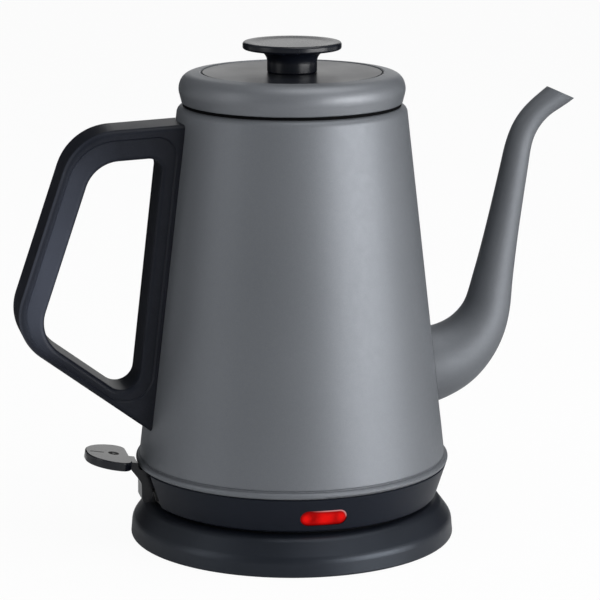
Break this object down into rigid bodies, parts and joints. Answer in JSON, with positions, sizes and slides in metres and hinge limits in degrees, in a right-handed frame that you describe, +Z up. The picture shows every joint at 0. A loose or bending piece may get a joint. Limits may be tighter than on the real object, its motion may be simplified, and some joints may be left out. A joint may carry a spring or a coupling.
{
  "type": "gooseneck kettle",
  "caption": "Electric gooseneck kettle: tapered painted pot, loop handle, lift-off lid with flared knob, rocking paddle switch and pilot lamp, on a round power base it turns on and lifts off.",
  "frame": {"origin": "on the table under the kettle's axis, at the middle of the base's foot ring", "axes": "+Z up along the pot's axis, +X towards the spout, -X towards the handle and the switch, -Y towards the pilot lamp"},
  "size_m": [0.2509, 0.1446, 0.221],
  "materials": {
    "black_plastic": "fine satin grain",
    "grey_paint": "satin metallic paint",
    "steel": "brushed",
    "brass": "satin",
    "aluminium": "satin",
    "rubber": "matt",
    "pale_plastic": "matt",
    "red_lens": "clear gloss",
    "lamp_glass": "clear"
  },
  "bodies": {
    "power_base": {"base_cover": "black_plastic", "base_plate": "black_plastic", "base_screws": "steel", "foot_ring": "rubber", "cord_gland": "rubber", "connector_tower": "black_plastic", "live_contact": "brass", "neutral_contact": "brass", "earth_contact": "brass"},
    "kettle_socket": {"live_pin": "brass", "neutral_ring": "brass", "earth_ring": "brass", "socket_insulator": "pale_plastic"},
    "kettle": {"bottom_housing": "black_plastic", "housing_floor": "black_plastic", "housing_screws": "steel", "mounting_studs": "steel", "body_shell": "grey_paint", "spout": "grey_paint", "heater_plate": "steel", "heat_spreader": "aluminium", "heating_element": "aluminium", "element_terminals": "brass", "steam_tube": "steel", "steam_grommet": "rubber", "control_body": "pale_plastic", "control_screws": "steel", "bimetal_discs": "brass", "steam_bimetal": "brass", "contact_blade": "brass", "switch_frame": "pale_plastic", "switch_pin": "steel", "pilot_lens": "red_lens", "neon_lamp": "lamp_glass", "lamp_holder": "pale_plastic", "lamp_leads": "pale_plastic", "handle": "black_plastic", "handle_brackets": "steel", "handle_screws": "steel"},
    "lid": {"lid_shell": "grey_paint", "lid_disc": "black_plastic", "lid_knob": "black_plastic", "lid_liner": "steel", "lid_seal": "rubber", "knob_screw": "steel"},
    "switch_lever": {"switch_lever": "black_plastic"},
    "trip_plunger": {"trip_plunger": "pale_plastic"}
  },
  "joints": [
    {"name": "kettle_lift", "type": "slide", "parent": "power_base", "child": "kettle_socket", "axis": [0, 0, 1], "range_m": [0, 0.06]},
    {"name": "kettle_swivel", "type": "hinge", "parent": "kettle_socket", "child": "kettle", "pos_m": [0, 0, 0.0325], "axis": [0, 0, 1], "continuous": true},
    {"name": "lid_lift", "type": "slide", "parent": "kettle", "child": "lid", "axis": [0, 0, 1], "range_m": [0, 0.05]},
    {"name": "switch_rock", "type": "hinge", "parent": "kettle", "child": "switch_lever", "pos_m": [-0.05997, 0, 0.026], "axis": [0, -1, 0], "range_deg": [0, 12]},
    {"name": "plunger_slide", "type": "slide", "parent": "kettle", "child": "trip_plunger", "axis": [0, 0, 1], "range_m": [0, 0.0025]}
  ],
  "couplings": [
    {"joint": "plunger_slide", "follows": "switch_rock", "m_per_rad": 0.0114}
  ]
}
